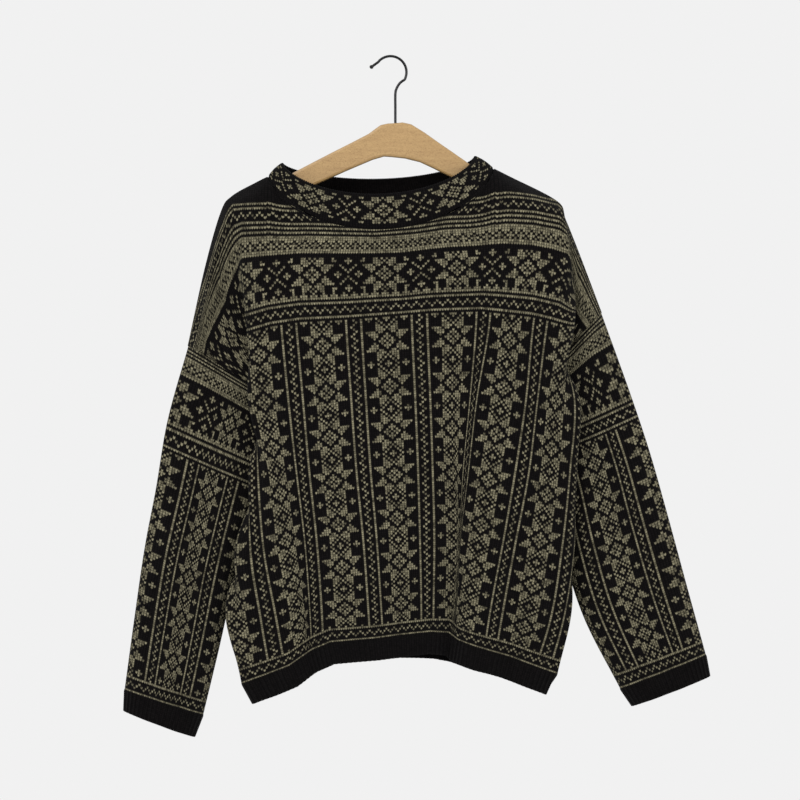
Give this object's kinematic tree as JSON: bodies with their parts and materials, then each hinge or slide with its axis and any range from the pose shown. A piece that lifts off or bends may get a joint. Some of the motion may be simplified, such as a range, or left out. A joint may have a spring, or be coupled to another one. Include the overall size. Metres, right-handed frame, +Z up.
{
  "type": "wool sweater on a hanger",
  "caption": "Oversized drop-shoulder wool sweater with star bands and ribbed hem, hanging on a wooden hanger with a steel hook.",
  "frame": {"origin": "inner top of the hanger's hook, where a rail touches it", "axes": "+Z up, +X to the viewer's right as the front is seen, the garment's front faces -Y"},
  "size_m": [0.744, 0.1106, 0.8653],
  "materials": {
    "knit": "two-colour wool knit, near-black brown and sage beige",
    "rib": "near-black wool rib",
    "wood": "varnished honey beech",
    "steel": "dark burnished wire"
  },
  "bodies": {
    "root": {"front": "knit", "back": "knit", "sleeve_left": "knit", "sleeve_right": "knit", "neckband": "knit", "hem_rib": "rib", "cuff_left": "rib", "cuff_right": "rib", "hanger_arms": "wood", "hanger_hook": "steel"}
  },
  "joints": []
}
